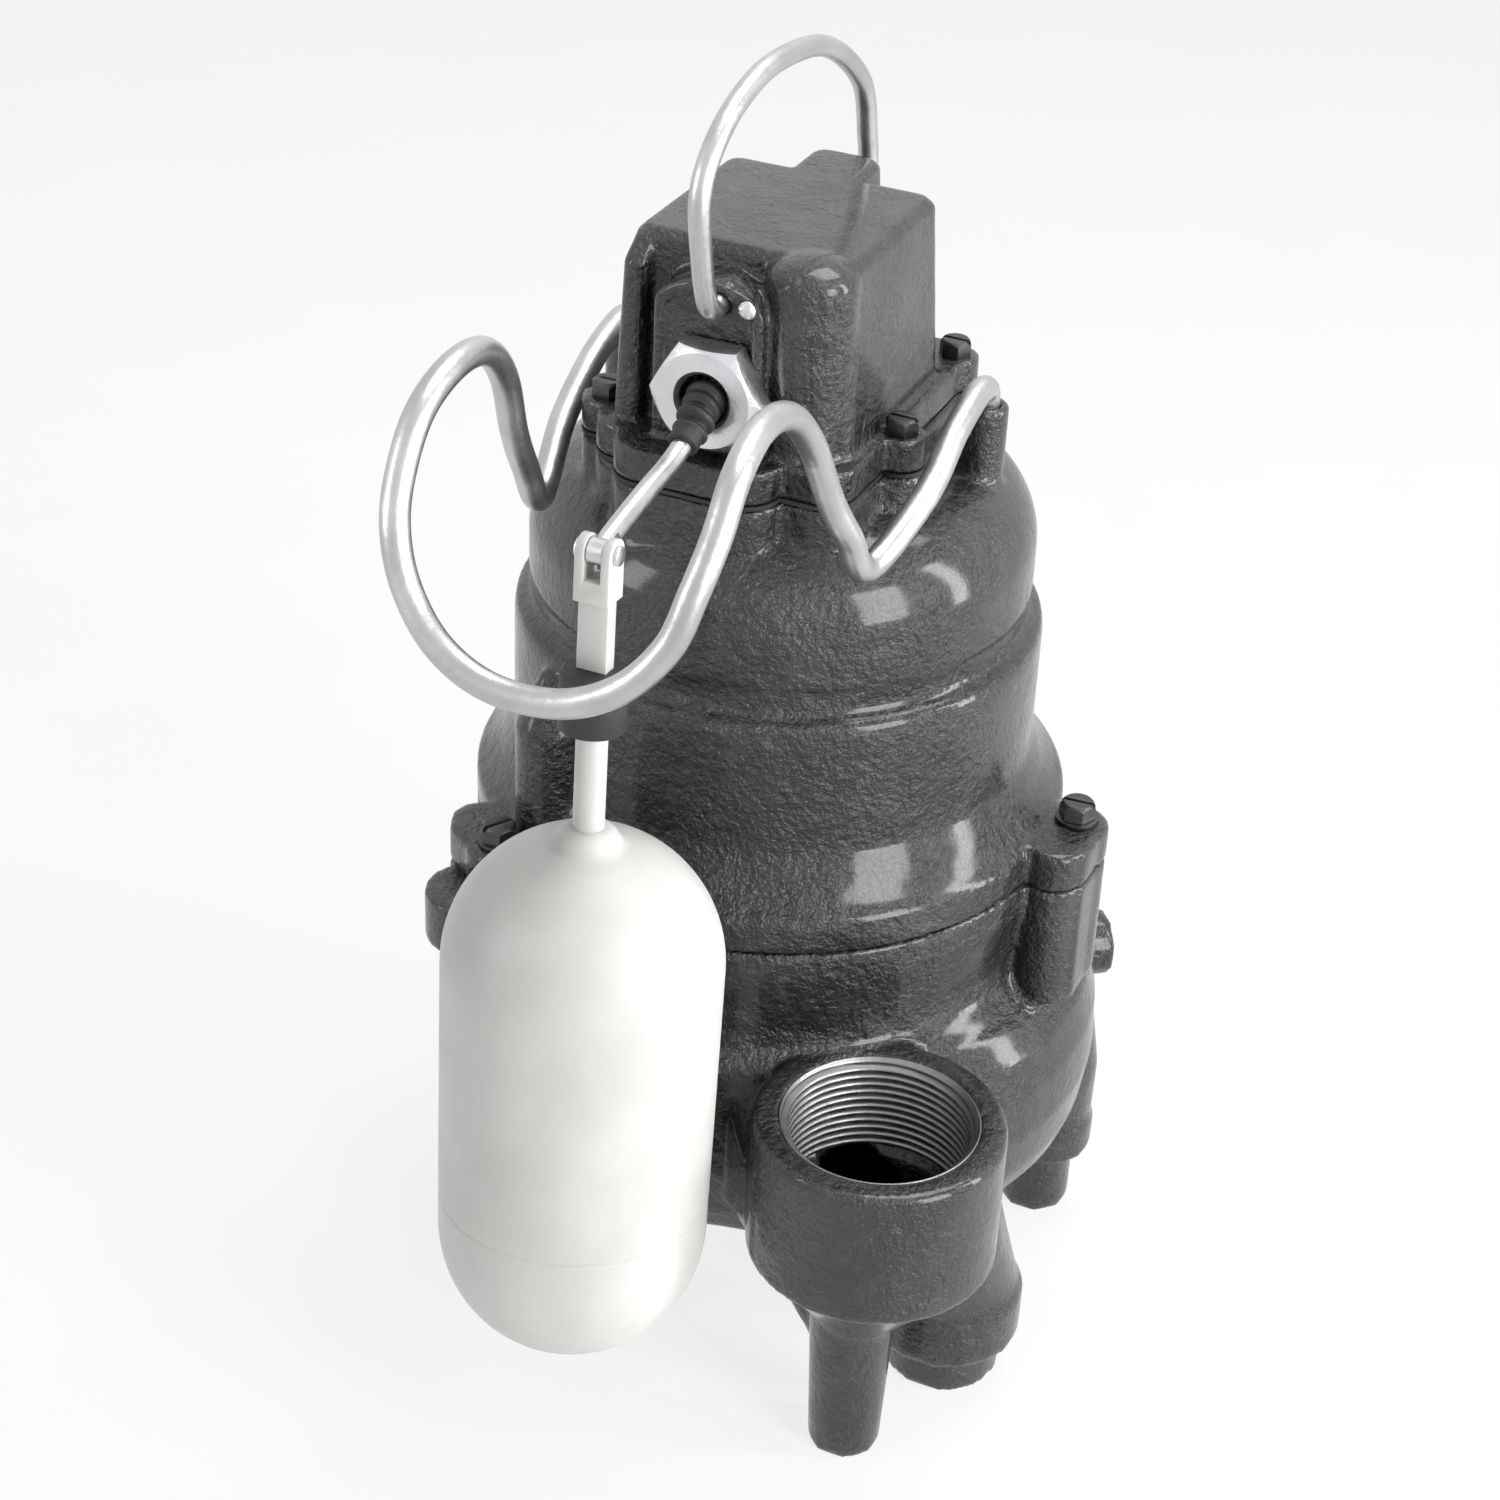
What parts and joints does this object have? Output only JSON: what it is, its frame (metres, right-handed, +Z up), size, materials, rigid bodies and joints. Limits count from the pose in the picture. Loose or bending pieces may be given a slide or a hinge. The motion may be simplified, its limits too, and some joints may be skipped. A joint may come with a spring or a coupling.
{
  "type": "submersible sump pump with vertical float switch",
  "caption": "Submersible sump pump with a cast volute and motor housing, a float switch on a lever, a wire float guard, a bail handle and an upright threaded discharge.",
  "frame": {"origin": "centre of the suction inlet bore, in the lower face of the suction plate, on the shaft axis", "axes": "+Z up along the shaft and the discharge, -Y towards the float and its lever, +X to the right when the float faces the viewer; the feet stand 42 mm below the origin"},
  "size_m": [0.1733, 0.232, 0.3375],
  "materials": {
    "enamel": "gloss",
    "black_oxide": "satin",
    "zinc_plate": "satin",
    "stainless": "satin",
    "plated_wire": "satin",
    "white_poly": "satin",
    "black_rubber": "matte",
    "cast_bracket": "matte",
    "lamination": "matte",
    "copper": "satin",
    "cast_aluminium": "matte",
    "bronze": "satin",
    "bearing_steel": "gloss",
    "seal_ceramic": "satin",
    "carbon": "matte",
    "switch_plastic": "matte",
    "plunger_plastic": "gloss",
    "protector_case": "satin",
    "wire_cover": "satin"
  },
  "bodies": {
    "pump": {"volute": "enamel", "suction_plate": "enamel", "suction_plate_gasket": "black_rubber", "suction_plate_screws": "zinc_plate", "motor_housing": "enamel", "housing_seal_ring": "black_rubber", "housing_bolts": "black_oxide", "bearing_bracket": "cast_bracket", "stator_core": "lamination", "stator_windings": "copper", "upper_bush": "bronze", "lower_bearing_outer": "bearing_steel", "seal_seat": "seal_ceramic", "switch_cover": "enamel", "cover_gasket": "black_rubber", "cover_bolts": "black_oxide", "cord_inlet": "black_rubber", "thermal_protector": "protector_case", "switch_bracket": "zinc_plate", "switch_body": "switch_plastic", "switch_screws": "zinc_plate", "lead_wires": "wire_cover", "gland_nut": "zinc_plate", "gland_washer": "zinc_plate", "lever_boot": "black_rubber", "lever_pivot_pin": "zinc_plate", "guard_wire": "plated_wire", "bail_rivet": "zinc_plate", "housing_plug": "zinc_plate"},
    "rotor": {"shaft": "stainless", "rotor_core": "lamination", "rotor_end_rings": "cast_aluminium", "lower_bearing_inner": "bearing_steel", "lower_bearing_balls": "bearing_steel", "seal_face": "carbon", "seal_bellows": "black_rubber", "impeller": "bronze", "impeller_nut": "stainless"},
    "lever": {"lever_rod": "stainless"},
    "float": {"float_clip": "white_poly", "clip_pin": "zinc_plate", "float_collar": "black_rubber", "float_rod": "white_poly", "float_shell": "white_poly", "float_end_cap": "white_poly"},
    "bail": {"bail_handle": "plated_wire"},
    "plunger": {"switch_plunger": "plunger_plastic"}
  },
  "joints": [
    {"name": "shaft_spin", "type": "hinge", "parent": "pump", "child": "rotor", "pos_m": [0, 0, 0.085], "axis": [0, 0, 1], "continuous": true},
    {"name": "lever_swing", "type": "hinge", "parent": "pump", "child": "lever", "pos_m": [0, -0.0365, 0.2275], "axis": [-1, 0, 0], "range_deg": [0, 18], "deforming": ["lever_boot"]},
    {"name": "float_swing", "type": "hinge", "parent": "lever", "child": "float", "pos_m": [0, -0.1005, 0.2105], "axis": [-1, 0, 0], "range_deg": [-18, 0]},
    {"name": "plunger_slide", "type": "slide", "parent": "pump", "child": "plunger", "axis": [0, 0, -1], "range_m": [0, 0.0046]},
    {"name": "bail_swing", "type": "hinge", "parent": "pump", "child": "bail", "pos_m": [0, 0, 0.2455], "axis": [0, 1, 0], "range_deg": [-75, 75]}
  ],
  "couplings": [
    {"joint": "float_swing", "follows": "lever_swing", "ratio": -1},
    {"joint": "plunger_slide", "follows": "lever_swing", "m_per_rad": 0.0145}
  ]
}
